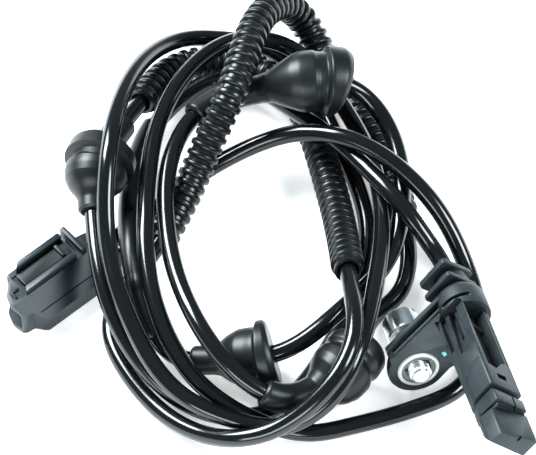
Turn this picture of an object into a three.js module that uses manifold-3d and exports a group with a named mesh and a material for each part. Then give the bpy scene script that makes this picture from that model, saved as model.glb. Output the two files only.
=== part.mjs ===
import * as THREE from 'three';
import { NURBSCurve } from 'three/addons/curves/NURBSCurve.js';
import { mergeVertices } from 'three/addons/utils/BufferGeometryUtils.js';
import Module from 'manifold-3d';

// ABS wheel speed sensor: a moulded sensor head with a mounting lug, and its harness: a long thin cable in open
// loops, four moulded grommets, a rubber sleeve, two corrugated conduits and a two-pin connector.
// Millimetres, +Z up. The origin is on the floor under the middle of the sensor head.

const wasm = await Module();
wasm.setup();

// ---- cable and sleeves ----
const CABLE_D = 4.8;
const CABLE_SIDES = 8;
const CABLE_R = CABLE_D / 2;
const TURN_STEP = 19.5;        // degrees of bend between two stations
const LENGTH_STEP = 16;        // and the longest step where the cable runs straight
const ENTRY_STATIONS = [9, 6, 3.5];   // extra stations this far before the cable's end, where it enters the neck
const FIT = 0.44;              // a bore's radius beyond the cable's, corners of the facets included
const BORE_R = CABLE_R + FIT;

const CONDUIT_D = 9;
const CONDUIT_PITCH = 3;
const CONDUIT_WALL = 0.9;
const RIB_DEPTH = 0.85;
const CONDUIT_SIDES = 9;
const LOOP_CONDUIT = [994.4, 1126.4];
const HAIRPIN_CONDUIT = [1283.4, 1455.4];

const SLEEVE_D = 6.6;
const SLEEVE_SPAN = [1821.9, 1897.9];
const NUB_D = 2.6;

const NECK_D = 8;
const BELL_D = 17;
const FLANGE_D = 19.6;
const GROOVE_D = 16;
const GROMMET_SIDES = 12;
const BLOCK_AT = 976.9;
const BLOCK_SIDE = 10;
const HOLE_D = 2.8;
const NUBS_AT = [[1885.4, 0.5, -0.4, 0.8], [1871.4, -0.8, -0.4, 0.4]];
const SIGHT_HOLE_AT = 1860.4;

// ---- sensor head: y runs along the body to the tip, x out to the lug's hole, z up ----
const HEAD_AT = [54.44, -29.62, 16.15];
const HEAD_TIP = [0.23, -0.948, 0.221];
const HEAD_LUG = [-0.875, -0.298, -0.375];
const NECK_R = 4.2;
const NECK_START = -25.6;
const FIN_SIDE = 12;
const FIN_THICK = 1.8;
const FIN_AT = [-23.6, -18];
const COLLAR_R = 6.9;
const COLLAR_SPAN = [-16.6, -11.5];
const BODY_SIDE = 13.2;
const BODY_CORNER_R = 2.4;
const BODY_END = 24;
const TIP_SIDE = 10.8;
const TIP_SHIFT = [-0.6, -1.6];
const TIP_END = 44;
const BEVEL = [4.8, 6.4];
const LUG_AT = 16.8;
const LUG_R = 8.2;
const LUG_DEPTH = 8;
const WEB_DEPTH = 4.5;
const BUSHING_OD = 11.1;
const BUSHING_ID = 9;
const RETAINER_ID = 6.7;
const SCREW_D = 6;
const SCREW_PITCH = 1;
const SCREW_HEAD_D = 10;
const SCREW_HEAD = [-21.2, -15];
const SCREW_TIP = 2.8;
const WINDOW_WIDTH = 7.6;
const WINDOW_SPAN = [-9.5, 19];
const WINDOW_FLOOR = 1.6;
const GAP = 0.3;

// ---- connector: x runs from the mating face to the cable, z up ----
const PLUG_AT = [-68.6, -14.8, 0.1];
const PLUG_TURN = 42.2;
const PLUG_LENGTH = 30.6;
const PLUG_HEIGHT = 10.6;
const PLUG_NEAR = -8;
const PLUG_FAR = 6.4;
const LATCH_TOP = 12.4;
const LATCH_FAR = 8.6;
const POCKET_FLOOR = 9.6;
const SOCKET_DEPTH = 14;
const SOCKET_SIDES = [-3.4, 5.2];
const SOCKET_FLOOR = 1.7;
const SOCKET_ROOF = 8.5;
const PIN_SPACING = 3.4;
const PIN_Z = 6;

// Everything is laid out round the harness, then moved so that the origin is under the head.
const LAYOUT_SHIFT = [-50.61, 37.985, -0.1];

// ---- the cable's centreline, from the connector to the head ----
const ROUTE = [
  // from the connector, up to the right
  [-45.5, 6, 6], [-42.5, 9.5, 6], [-37, 14.5, 5], [-28.5, 25.5, 1], [-19, 32, 5.5],
  // right-hand loop, over the other strands
  [-9, 36.5, 9], [0, 38, 13.5], [9, 37.5, 18], [19, 33.5, 22], [28.5, 29, 22],
  [37, 22.5, 20], [44.5, 15.5, 16.5], [50, 8.5, 11], [54, 1, 5], [56.8, -8.5, 2.5],
  [57, -20, 2.5],
  // back along the floor at the front, under the head
  [55, -31, 2.5], [49, -38, 2.5], [41, -41.5, 2.5], [31.5, -45, 2.5], [22, -48, 3], [12.5, -51, 3.5],
  [4.5, -50.5, 4.5],
  // second strand up the left side
  [-3.5, -48.5, 6.5], [-11, -45.5, 9], [-18.5, -40.5, 12], [-24.5, -32.5, 14.5], [-29.5, -22, 18],
  [-32.5, -9, 20.5], [-33, 6, 23], [-32.5, 21.5, 21], [-31, 35.5, 21], [-26.5, 51.5, 18.5],
  [-19, 65, 16], [-9.5, 73.5, 13.5], [0.5, 75, 11.5],
  // far side
  [9, 71, 10.5], [17, 59, 11],
  // down the right side
  [25, 43.5, 11], [30, 28, 12], [31.5, 10.5, 14], [29.5, -8.5, 18], [26.5, -26, 22.5],
  // front
  [23.5, -37.5, 23], [19.5, -46, 19.5], [12, -51.5, 13.5], [2.5, -54, 10.5],
  // first strand up the left side
  [-6.5, -51.5, 10], [-15.5, -49.5, 12.5], [-23.5, -44.5, 13], [-30.5, -36.5, 14.5], [-36, -25.5, 17],
  [-40.5, -15, 20.5], [-43, -2.5, 23], [-43.5, 8, 29], [-42.5, 20.5, 35], [-40.5, 39.5, 30.5],
  [-35, 62, 20], [-25, 77.5, 9],
  // far side
  [-14, 80, 5], [-3, 79.5, 4], [7.5, 72.5, 3.5],
  // down the middle
  [15, 58.5, 2], [20.5, 42, 3], [26, 27, 2.5], [28, 12, 2.5],
  // inner loop on the floor
  [24.5, -2.5, 2.5], [19.5, -16.5, 2.5], [13.5, -28.5, 2.5], [6.5, -39.5, 2.5],
  // outer left strand
  [-2.5, -45.5, 2.5], [-14.5, -45, 2.5], [-25.5, -40, 4], [-35.5, -30.5, 9], [-42.5, -18.5, 15],
  [-45.5, -6, 18], [-47, 7.5, 18.5],
  // through grommet 4
  [-47.5, 17, 20], [-46, 24.5, 20.5], [-43.5, 33.5, 18.5], [-39, 44, 15],
  // looped conduit
  [-34, 53.5, 12.5], [-29.5, 65, 8], [-21, 71, 6], [-10.5, 72, 5], [0, 67.5, 5.5],
  [8, 58, 6], [12.5, 47, 6.5], [15.5, 34, 7], [18.5, 19.5, 8.5], [20.5, 2, 14.5],
  [21.5, -15.5, 23],
  // front-most strand
  [23, -29, 28], [22, -39.5, 28], [17.5, -48, 25.5], [10.5, -53.5, 20.5], [2, -57, 15],
  [-8, -58, 12], [-18, -52.5, 5.5], [-28.5, -44, 2.5], [-37, -32.5, 2.5],
  // under the left strands
  [-43, -20.5, 2.5], [-42, -10, 3], [-36.5, -2, 4.5],
  // hairpin conduit
  [-30.5, 4.5, 8], [-25, 14.5, 11], [-19.5, 26.5, 14], [-15.5, 34, 21], [-10.5, 41, 28],
  [-7.5, 51, 29.5], [-5, 61.5, 30], [-1, 73.5, 26.5], [5, 82.5, 18.5], [11, 82.5, 9],
  [15.5, 73, 5], [23, 57.5, 5], [31, 41.5, 5], [36, 24.5, 4.5],
  // down to grommet 3, behind the screw
  [38.5, 8.5, 5.5], [38, 0, 3.5], [35.5, -6.5, 2.5], [30.6, -11, 2.8], [26.7, -17, 5],
  [25.8, -23.5, 9],
  // through grommet 3
  [23.5, -30, 10.5], [19, -36.5, 10.5], [12, -42.5, 10.5], [4, -46.5, 12.5],
  // third strand up the left side
  [-4, -45, 16.5], [-12.5, -38, 20.5], [-19.5, -27, 22.5], [-25, -11, 20.5], [-27.5, 5, 19.5],
  [-28, 20, 19.5], [-25.5, 32.5, 19.5],
  // through grommet 1
  [-20.5, 43, 18.5], [-12, 49, 18.5], [-3, 49.5, 21], [7, 48, 26], [16.5, 49.5, 26],
  // right-hand side
  [25.5, 49.5, 21.5], [33, 42.5, 16.5],
  // down the right side
  [37, 28.5, 14.5], [36.5, 13, 12.4], [33.5, 0.5, 10.5],
  // inner loop, over grommet 3
  [27, -9, 11.5], [19, -20.5, 16.5], [10, -28.5, 14],
  // through grommet 2
  [1.5, -32, 12], [-6.5, -31.5, 10.5], [-14, -30.5, 8], [-20, -30, 6.5],
  // rubber sleeve
  [-25.5, -28.5, 6], [-31, -22.5, 8.2], [-34.5, -11.5, 12.5], [-37, 2.5, 13.5], [-38, 19, 10],
  [-36.5, 35.5, 5.5], [-33.5, 47, 4.5],
  // last strand, over to the head
  [-28.5, 54.5, 4.5], [-22, 61, 5.5], [-15.5, 64.5, 6.5], [-8.5, 63.5, 7.5], [-1, 57.5, 10],
  [7.5, 48, 13], [15.5, 40, 15], [22.5, 32, 16], [29.5, 21, 18.5], [36, 12.5, 18.8], [41, 6.5, 14.8], [43.5, 4, 12.1],
  [45.5, 1.4, 10.9], [47.1, -1.7, 10.3],
  // into the neck of the head
  [48.46, -4.98, 10.41], [49.61, -9.72, 11.51],
];

// ---- helpers ----
function toSolid(geometry) {
  const bare = (geometry.index ? geometry : mergeVertices(geometry)).clone();
  bare.deleteAttribute('normal');
  bare.deleteAttribute('uv');
  const merged = mergeVertices(bare, 1e-4);
  return new wasm.Manifold(new wasm.Mesh({
    numProp: 3,
    vertProperties: new Float32Array(merged.attributes.position.array),
    triVerts: new Uint32Array(merged.index.array),
  }));
}

function toGeometry(solid) {
  const mesh = solid.getMesh();
  const geometry = new THREE.BufferGeometry();
  geometry.setAttribute('position', new THREE.BufferAttribute(new Float32Array(mesh.vertProperties), 3));
  geometry.setIndex(new THREE.BufferAttribute(new Uint32Array(mesh.triVerts), 1));
  geometry.computeVertexNormals();
  return geometry;
}

function outline(points) {
  return new THREE.Shape(points.map(([x, y]) => new THREE.Vector2(x, y)));
}

function roundedRect(width, height, radius, cx = 0, cy = 0, segments = 2) {
  const shape = new THREE.Shape();
  const [w, h] = [width / 2 - radius, height / 2 - radius];
  shape.absarc(cx + w, cy + h, radius, 0, Math.PI / 2);
  shape.absarc(cx - w, cy + h, radius, Math.PI / 2, Math.PI);
  shape.absarc(cx - w, cy - h, radius, Math.PI, Math.PI * 1.5);
  shape.absarc(cx + w, cy - h, radius, Math.PI * 1.5, Math.PI * 2);
  return new THREE.Shape(shape.getPoints(segments));
}

function turned(shape, angle) {
  const [c, s] = [Math.cos(angle), Math.sin(angle)];
  return outline(shape.getPoints().map((p) => [p.x * c - p.y * s, p.x * s + p.y * c]));
}

function extrude(shape, depth) {
  return new THREE.ExtrudeGeometry(shape, { depth, bevelEnabled: false, curveSegments: 5 });
}

// An outline drawn in x and z, run along y between two stations of the head.
function alongY(shape, from, to) {
  return extrude(shape, to - from).rotateX(Math.PI / 2).translate(0, to, 0);
}

// An outline drawn in y and z, run along x between two stations of the plug.
function alongX(shape, from, to) {
  return extrude(shape, to - from).rotateX(Math.PI / 2).rotateZ(Math.PI / 2).translate(from, 0, 0);
}

// A lathe turned about y, between stations of the head. The profile is [radius, y] pairs.
function lathe(profile, sides, turn = 0) {
  return new THREE.LatheGeometry(profile.map(([r, y]) => new THREE.Vector2(r, y)), sides, turn);
}

function rod(radius, from, to, sides) {
  return lathe([[0, from], [radius, from], [radius, to], [0, to]], sides);
}

// The same, along x at the height of the plug's cable exit.
function rodX(radius, from, to, sides) {
  return rod(radius, from, to, sides).rotateZ(-Math.PI / 2).translate(0, 0, PIN_Z);
}

const parts = [];

function piece(name, geometry, color, roughness, metalness = 0) {
  const mesh = new THREE.Mesh(geometry, new THREE.MeshStandardMaterial({ color, roughness, metalness }));
  mesh.name = name;
  parts.push(mesh);
  return mesh;
}

// ---- the cable's path, cut into stations where it turns ----
const DEGREE = 3;
const control = ROUTE.map(([x, y, z]) => new THREE.Vector4(x, y, z, 1));
const knots = [];
for (let i = 0; i < control.length + DEGREE + 1; i += 1) {
  knots.push(Math.min(Math.max(i - DEGREE, 0), control.length - DEGREE));
}
const spline = new NURBSCurve(DEGREE, knots, control);
const FINE = 6000;
const fine = [];
for (let i = 0; i <= FINE; i += 1) fine.push(spline.getPoint(i / FINE, new THREE.Vector3()));

const wholeLength = fine.reduce((sum, at, i) => sum + (i ? at.distanceTo(fine[i - 1]) : 0), 0);
const stations = [{ s: 0, at: fine[0], along: fine[1].clone().sub(fine[0]).normalize() }];
let run = 0;
for (let i = 1; i <= FINE; i += 1) {
  run += fine[i].distanceTo(fine[i - 1]);
  const next = fine[Math.min(i + 1, FINE)];
  const along = next.clone().sub(fine[i - 1]).normalize();
  const last = stations[stations.length - 1];
  const turn = THREE.MathUtils.radToDeg(along.angleTo(last.along));
  const entry = ENTRY_STATIONS.some((d) => last.s < wholeLength - d && run >= wholeLength - d);
  if (i === FINE || entry || turn >= TURN_STEP || run - last.s >= LENGTH_STEP) {
    stations.push({ s: run, at: fine[i].clone(), along });
  }
}
const STEPS = stations.length - 1;
const CABLE_LENGTH = stations[STEPS].s;

class StationCurve extends THREE.Curve {
  getPoint(u, target = new THREE.Vector3()) {
    const place = u * STEPS;
    const i = Math.min(Math.floor(place), STEPS - 1);
    return target.lerpVectors(stations[i].at, stations[i + 1].at, place - i);
  }

  getPointAt(u, target) {
    return this.getPoint(u, target);
  }

  getTangentAt(u, target = new THREE.Vector3()) {
    const place = u * STEPS;
    const i = Math.min(Math.floor(place), STEPS - 1);
    return target.lerpVectors(stations[i].along, stations[i + 1].along, place - i).normalize();
  }
}

const path = new StationCurve();
const frames = path.computeFrenetFrames(STEPS, false);

// Bends a lathe whose axis is y onto the cable, with y measured along the cable.
function bend(geometry) {
  const position = geometry.attributes.position;
  const [centre, n, b] = [new THREE.Vector3(), new THREE.Vector3(), new THREE.Vector3()];
  for (let v = 0; v < position.count; v += 1) {
    const s = position.getY(v);
    let i = 0;
    while (i < STEPS - 1 && stations[i + 1].s < s) i += 1;
    const f = (s - stations[i].s) / (stations[i + 1].s - stations[i].s);
    centre.lerpVectors(stations[i].at, stations[i + 1].at, f);
    n.lerpVectors(frames.normals[i], frames.normals[i + 1], f);
    b.lerpVectors(frames.binormals[i], frames.binormals[i + 1], f);
    centre.addScaledVector(b, position.getX(v)).addScaledVector(n, position.getZ(v));
    position.setXYZ(v, centre.x, centre.y, centre.z);
  }
  geometry.computeVertexNormals();
  return geometry;
}

// A sleeve round the cable: the outer profile is [radius, s] pairs, the bore follows the cable's own stations.
function sleeve(outer, sides, bore = BORE_R) {
  const from = outer[0][1];
  const to = outer[outer.length - 1][1];
  const inside = stations.filter((station) => station.s > from + 0.3 && station.s < to - 0.3);
  const rings = outer.map(([r, s]) => [r, s]);
  for (const station of inside) {
    const after = rings.findIndex(([, s]) => s > station.s);
    const [r0, s0] = rings[after - 1];
    const [r1, s1] = rings[after];
    const f = (station.s - s0) / (s1 - s0);
    if (station.s - s0 > 0.05 && s1 - station.s > 0.05) rings.splice(after, 0, [r0 + (r1 - r0) * f, station.s]);
  }
  const back = inside.map((station) => [bore, station.s]).reverse();
  return bend(lathe([[bore, from], ...rings, [bore, to], ...back, [bore, from]], sides));
}

// ---- cable ----
const section = [];
for (let i = 0; i < CABLE_SIDES; i += 1) {
  const angle = (i / CABLE_SIDES) * Math.PI * 2;
  section.push([CABLE_R * Math.cos(angle), CABLE_R * Math.sin(angle)]);
}
piece('cable', new THREE.ExtrudeGeometry(
  outline(section),
  { extrudePath: path, steps: STEPS, bevelEnabled: false },
), 0x15191b, 0.35);

// ---- corrugated conduits: a plain cuff at each end and a rib every pitch ----
function conduit(name, [from, to]) {
  const crest = CONDUIT_D / 2;
  const valley = crest - RIB_DEPTH;
  const count = Math.floor((to - from - 2) / CONDUIT_PITCH);
  const outer = [[valley, from], [valley, from + 1]];
  for (let i = 0; i < count; i += 1) {
    const s = from + 1 + i * CONDUIT_PITCH;
    outer.push([crest, s + CONDUIT_PITCH * 0.22], [crest, s + CONDUIT_PITCH * 0.62]);
    outer.push([valley, s + CONDUIT_PITCH * 0.84]);
  }
  outer.push([valley, to]);
  piece(name, sleeve(outer, CONDUIT_SIDES, valley - CONDUIT_WALL + 0.2), 0x20262a, 0.45);
}
conduit('conduit_loop', LOOP_CONDUIT);
conduit('conduit_hairpin', HAIRPIN_CONDUIT);

// ---- moulded grommets: neck, bell and a flange with a groove that snaps into the bracket ----
const [NECK, BELL, FLANGE, GROOVE] = [NECK_D / 2, BELL_D / 2, FLANGE_D / 2, GROOVE_D / 2];

function grommet(name, profile) {
  piece(name, sleeve(profile, GROMMET_SIDES), 0x2c3a3f, 0.6);
}
grommet('grommet_1', [
  [NECK, 1636.9], [NECK, 1660.9], [BELL * 0.72, 1664.9], [BELL, 1669.9], [BELL, 1673.4],
  [GROOVE, 1674.1], [GROOVE, 1675.9], [FLANGE, 1676.5], [FLANGE, 1679.9], [FLANGE - 1, 1681.4],
]);
grommet('grommet_2', [
  [FLANGE - 1, 1787.3], [FLANGE - 0.2, 1788.5], [FLANGE - 0.2, 1790.9], [GROOVE, 1791.5], [GROOVE, 1793.1],
  [BELL - 0.6, 1793.9], [BELL - 0.8, 1796.3], [BELL * 0.7, 1799.9], [NECK, 1802.9], [NECK, 1809.9],
]);
grommet('grommet_3', [
  [FLANGE - 2.3, 1505], [FLANGE - 1.4, 1506.2], [FLANGE - 1.4, 1509], [GROOVE, 1509.6], [GROOVE, 1511.4],
  [BELL, 1512.2], [BELL, 1515.4], [BELL * 0.74, 1519.9], [NECK, 1523.4], [NECK, 1538.4],
]);

// A solid of revolution bent onto the cable, before its bore is cut.
function bentSolid(outer, sides, turn = 0) {
  const rings = [[0, outer[0][1]], ...outer, [0, outer[outer.length - 1][1]]];
  return toSolid(bend(lathe(rings, sides, turn)));
}

function boreSolid(from, to, radius = BORE_R) {
  const inside = stations.filter((station) => station.s > from + 0.05 && station.s < to - 0.05);
  return bentSolid([[radius, from], ...inside.map((station) => [radius, station.s]), [radius, to]], 12);
}

// The place and the outward direction of something on a sleeve that faces the given way.
function facing(s, toward) {
  const i = stations.findIndex((station) => station.s > s);
  const f = (s - stations[i - 1].s) / (stations[i].s - stations[i - 1].s);
  const at = stations[i - 1].at.clone().lerp(stations[i].at, f);
  const n = frames.normals[i - 1].clone().lerp(frames.normals[i], f);
  const b = frames.binormals[i - 1].clone().lerp(frames.binormals[i], f);
  const turn = Math.atan2(toward.dot(b), toward.dot(n));
  const out = b.multiplyScalar(Math.sin(turn)).addScaledVector(n, Math.cos(turn)).normalize();
  return { at, out, turn };
}

function radial(radius, from, to, place, sides) {
  const pin = new THREE.CylinderGeometry(radius, radius, to - from, sides).translate(0, (from + to) / 2, 0);
  pin.applyQuaternion(new THREE.Quaternion().setFromUnitVectors(new THREE.Vector3(0, 1, 0), place.out));
  return toSolid(pin.translate(place.at.x, place.at.y, place.at.z));
}

const FRONT = new THREE.Vector3(0, -0.57, 0.82);

// The fourth grommet has a dome below its flange, and above it a square block with a locating hole.
const block = facing(BLOCK_AT, FRONT);
piece('grommet_4', toGeometry(
  bentSolid([
    [NECK, 949.9], [NECK, 954.4], [BELL * 0.75, 956.8], [BELL, 960.8], [BELL, 962.4],
    [GROOVE, 963], [GROOVE, 964.6], [FLANGE, 965.2], [FLANGE - 0.6, 969], [NECK, 971], [NECK, 983.4],
  ], GROMMET_SIDES)
    .add(bentSolid([[BLOCK_SIDE * 0.707, BLOCK_AT - 4], [BLOCK_SIDE * 0.707, BLOCK_AT + 4]], 4, block.turn - Math.PI / 4))
    .subtract(boreSolid(949.4, 983.9))
    .subtract(radial(HOLE_D / 2, 3.5, 8, block, 10)),
), 0x2c3a3f, 0.6);

// ---- rubber sleeve with its nubs and its sight hole ----
const [SLEEVE_FROM, SLEEVE_TO] = SLEEVE_SPAN;
const nubs = NUBS_AT.map(([s, x, y, z]) => facing(s, new THREE.Vector3(x, y, z)));
const sleeveRings = stations.filter((station) => station.s > SLEEVE_FROM + 1 && station.s < SLEEVE_TO - 1);
let rubber = bentSolid([
  [SLEEVE_D / 2 - 0.1, SLEEVE_FROM], ...sleeveRings.map((station) => [SLEEVE_D / 2, station.s]),
  [SLEEVE_D / 2 - 0.1, SLEEVE_TO],
], 12);
for (const nub of nubs) rubber = rubber.add(radial(NUB_D / 2, 2.9, SLEEVE_D / 2 + 0.9, nub, 8));
rubber = rubber.subtract(boreSolid(SLEEVE_FROM - 0.5, SLEEVE_TO + 0.5));
rubber = rubber.subtract(radial(1.2, 2.5, 5, facing(SIGHT_HOLE_AT, FRONT), 10));
piece('rubber_sleeve', toGeometry(rubber), 0x3a484d, 0.55);

// ---- sensor head ----
const tipAxis = new THREE.Vector3(...HEAD_TIP).normalize();
const lugAxis = new THREE.Vector3(...HEAD_LUG);
lugAxis.addScaledVector(tipAxis, -lugAxis.dot(tipAxis)).normalize();
const head = new THREE.Group();
head.matrixAutoUpdate = false;
head.matrix.makeBasis(lugAxis, tipAxis, new THREE.Vector3().crossVectors(lugAxis, tipAxis));
head.matrix.setPosition(...HEAD_AT);

const EIGHTH = Math.PI / 4;

function diamond(side, corner, cx = 0, cz = 0) {
  const turnedShape = turned(roundedRect(side, side, corner), EIGHTH);
  return outline(turnedShape.getPoints().map((p) => [p.x + cx, p.y + cz]));
}

// A cutter whose outline is drawn across and along a slanted face of the body, sunk from outside to a depth.
function faceCutter(shape, side, outer, inner) {
  const across = new THREE.Vector3(side, 0, 1).normalize();
  const out = new THREE.Vector3(-side, 0, 1).normalize();
  const up = new THREE.Vector3(0, 1, 0);
  const right = new THREE.Vector3().crossVectors(up, out);
  const frame = new THREE.Matrix4().makeBasis(right, up, out);
  return extrude(shape, outer - inner).translate(0, 0, inner).applyMatrix4(frame);
}

const bodyHalf = BODY_SIDE / 2;
let housing = toSolid(rod(NECK_R, NECK_START, COLLAR_SPAN[0] + 1, 12))
  .add(toSolid(rod(COLLAR_R, COLLAR_SPAN[0], COLLAR_SPAN[1], 18)))
  .add(toSolid(rod(COLLAR_R - 1, COLLAR_SPAN[0] - 1.2, COLLAR_SPAN[0] + 1, 18)))
  .add(toSolid(alongY(diamond(BODY_SIDE, BODY_CORNER_R), COLLAR_SPAN[1] - 0.5, BODY_END)))
  .add(toSolid(alongY(diamond(TIP_SIDE, 1, ...TIP_SHIFT), BODY_END - 1, TIP_END)));
for (const y of FIN_AT) housing = housing.add(toSolid(alongY(diamond(FIN_SIDE, 0.8), y - FIN_THICK, y)));

// The lug: a deep round boss for the bushing, and a thinner web whose upper edge rises to the body.
const web = outline([
  [3, -7.4], [14.5, -8.1], [LUG_AT + 6, -5.9], [LUG_AT + 8.2, -1], [LUG_AT + 5, 5.6], [5.2, 10.2], [2, 9], [1, 0],
]);
const ridge = outline([[LUG_AT + 5.6, 6], [5.4, 10.9], [4.8, 9.6], [LUG_AT + 4.6, 4.9]]);
housing = housing
  .add(toSolid(rod(LUG_R, -LUG_DEPTH, 0, 20).translate(LUG_AT, 0, 0)))
  .add(toSolid(alongY(web, -LUG_DEPTH, -LUG_DEPTH + WEB_DEPTH)))
  .add(toSolid(alongY(ridge, -LUG_DEPTH, -LUG_DEPTH + WEB_DEPTH + 1.2)))
  .subtract(toSolid(rod(BUSHING_OD / 2 + GAP, -LUG_DEPTH - 1, 1, 20).translate(LUG_AT, 0, 0)));

// The collar's slot, the body's window and side pocket, and the latch hole and grooves behind the tip.
const opening = roundedRect(WINDOW_WIDTH, WINDOW_SPAN[1] - WINDOW_SPAN[0], 1, 0, (WINDOW_SPAN[0] + WINDOW_SPAN[1]) / 2);
const pocket = roundedRect(3.6, 15, 0.8, 2.2, -2);
const latchHole = roundedRect(3.4, 2.4, 0.4, 0.6, 21);
housing = housing
  .subtract(toSolid(faceCutter(opening, 1, bodyHalf + 3, WINDOW_FLOOR)))
  .subtract(toSolid(faceCutter(pocket, -1, bodyHalf + 3, bodyHalf - 1.3)))
  .subtract(toSolid(faceCutter(latchHole, 1, bodyHalf + 3, bodyHalf - 2.2)))
  .subtract(toSolid(faceCutter(roundedRect(7, 1.1, 0.2, 0, -13.4), 1, bodyHalf + 3, COLLAR_R - 1.2)))
  .subtract(toSolid(faceCutter(roundedRect(7, 0.8, 0.2, -0.4, BODY_END + 3), 1, bodyHalf + 3, TIP_SIDE / 2 - 1.6)))
  .subtract(toSolid(faceCutter(roundedRect(0.8, 5, 0.2, -1.2, BODY_END + 3), 1, bodyHalf + 3, TIP_SIDE / 2 - 1.4)));

// The tip is cut back by two slanted planes, so that its end is bevelled.
for (const side of [1, -1]) {
  const out = new THREE.Vector3(-side, 0, 1).normalize();
  const up = new THREE.Vector3(0, 1, 0);
  const frame = new THREE.Matrix4().makeBasis(up, out, new THREE.Vector3().crossVectors(up, out));
  const face = TIP_SIDE / 2 + (-side * TIP_SHIFT[0] + TIP_SHIFT[1]) * Math.SQRT1_2;
  const wedge = outline([[TIP_END - BEVEL[0], face + 0.1], [TIP_END + 1, face - BEVEL[1]], [TIP_END + 1, face + 1]]);
  housing = housing.subtract(toSolid(extrude(wedge, 40).translate(0, 0, -20).applyMatrix4(frame)));
}
housing = housing.subtract(toSolid(rod(BORE_R + 0.45, NECK_START - 1, -20.4, 12)));
head.add(piece('sensor_housing', toGeometry(housing), 0x4a5d63, 0.6));

const carrier = roundedRect(WINDOW_WIDTH - 2 * GAP, 20, 0.8, 0, 4);
const fin = outline([[-2.6, -4.5], [2.6, -1.2], [2.6, 0], [-2.6, -3.3]]);
head.add(piece('chip_carrier', toGeometry(
  toSolid(faceCutter(carrier, 1, WINDOW_FLOOR + GAP + 1.1, WINDOW_FLOOR + GAP))
    .add(toSolid(faceCutter(fin, 1, WINDOW_FLOOR + GAP + 2.2, WINDOW_FLOOR + GAP + 0.5))),
), 0x2b3a3e, 0.65));

// ---- lug bushing, screw retainer and captive screw ----
const [bushOut, bushIn] = [BUSHING_OD / 2, BUSHING_ID / 2];
const bushing = lathe([
  [bushIn, -LUG_DEPTH - 0.4], [bushOut - 0.4, -LUG_DEPTH - 0.4], [bushOut, -LUG_DEPTH], [bushOut, 0.1],
  [bushOut - 0.4, 0.5], [bushIn + 0.3, 0.5], [bushIn, 0.2], [bushIn, -LUG_DEPTH - 0.4],
], 20).translate(LUG_AT, 0, 0);
head.add(piece('lug_bushing', bushing, 0xd9d6cc, 0.35, 0.8));

const [ringOut, ringIn] = [bushIn - GAP, RETAINER_ID / 2];
const retainer = lathe([
  [ringIn, -4], [ringOut, -4], [ringOut, -0.6], [ringOut - 0.3, -0.3], [ringIn + 0.3, -0.3], [ringIn, -0.6],
  [ringIn, -4],
], 20).translate(LUG_AT, 0, 0);
head.add(piece('screw_retainer', retainer, 0x6d7a7c, 0.6));

const shank = SCREW_D / 2;
const root = shank - 0.45;
const thread = [];
for (let y = -2; y < SCREW_TIP - 1; y += SCREW_PITCH) thread.push([root, y], [shank, y + SCREW_PITCH / 2]);
const [headBack, headFront] = SCREW_HEAD;
const half = SCREW_HEAD_D / 2;
const screw = lathe([
  [0, headBack + 3.4], [2.6, headBack + 3.4], [2.6, headBack], [half - 0.6, headBack], [half, headBack + 0.7],
  [half, headFront - 0.4], [half - 0.4, headFront], [shank, headFront], [shank, -2.6],
  ...thread, [root, SCREW_TIP - 0.6], [root - 0.5, SCREW_TIP], [0, SCREW_TIP],
], 14).translate(LUG_AT, 0, 0);
head.add(piece('mounting_screw', screw, 0xc9d4d8, 0.25, 0.9));

// ---- connector ----
const plug = new THREE.Group();
plug.position.set(...PLUG_AT);
plug.rotation.z = THREE.MathUtils.degToRad(PLUG_TURN);

// The body's outline seen from above, with the rounded near corner and the step in its near side.
const plan = outline([
  [0.5, -3.6], [1.6, -4.4], [3.9, -4.6], [6.2, -7.9], [PLUG_LENGTH, PLUG_NEAR],
  [PLUG_LENGTH, 4.6], [25.6, 5.6], [24, PLUG_FAR], [4.6, PLUG_FAR], [1.2, 3.4], [0, 0],
]);
let shell = toSolid(extrude(plan, PLUG_HEIGHT));
const rails = new THREE.Shape(roundedRect(20, LATCH_FAR, 1, 14, LATCH_FAR / 2, 2).getPoints());
shell = shell
  .add(toSolid(extrude(rails, LATCH_TOP)))
  .add(toSolid(extrude(roundedRect(1.8, LATCH_FAR + 1, 0.4, 25.2, LATCH_FAR / 2, 1), LATCH_TOP + 0.6)));
const pocketPlan = roundedRect(17.6, 5.4, 0.6, 14.4, 4.4, 2);
const nearBevel = outline([[PLUG_NEAR - 1, 4], [PLUG_NEAR - 1, 13], [-1.2, 13], [-0.6, PLUG_HEIGHT - 0.6]]);
shell = shell
  .subtract(toSolid(extrude(pocketPlan, 6).translate(0, 0, POCKET_FLOOR)))
  .subtract(toSolid(alongX(nearBevel, -1, 26)))
  .subtract(toSolid(alongX(roundedRect(
    SOCKET_SIDES[1] - SOCKET_SIDES[0], SOCKET_ROOF - SOCKET_FLOOR, 1,
    (SOCKET_SIDES[0] + SOCKET_SIDES[1]) / 2, (SOCKET_ROOF + SOCKET_FLOOR) / 2,
  ), -1, SOCKET_DEPTH)));
const SEAL_R = 4;
shell = shell.subtract(toSolid(rodX(SEAL_R, SOCKET_DEPTH + 4, PLUG_LENGTH + 1, 16)));
for (const side of [-1, 1]) {
  const y = side * PIN_SPACING / 2;
  const slot = roundedRect(2.2 + 2 * GAP, 0.8 + 2 * GAP, 0.2, y, PIN_Z, 1);
  shell = shell.subtract(toSolid(alongX(slot, SOCKET_DEPTH - 1, SOCKET_DEPTH + 5)));
}
plug.add(piece('connector_housing', toGeometry(shell), 0x5b6c75, 0.6));

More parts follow.
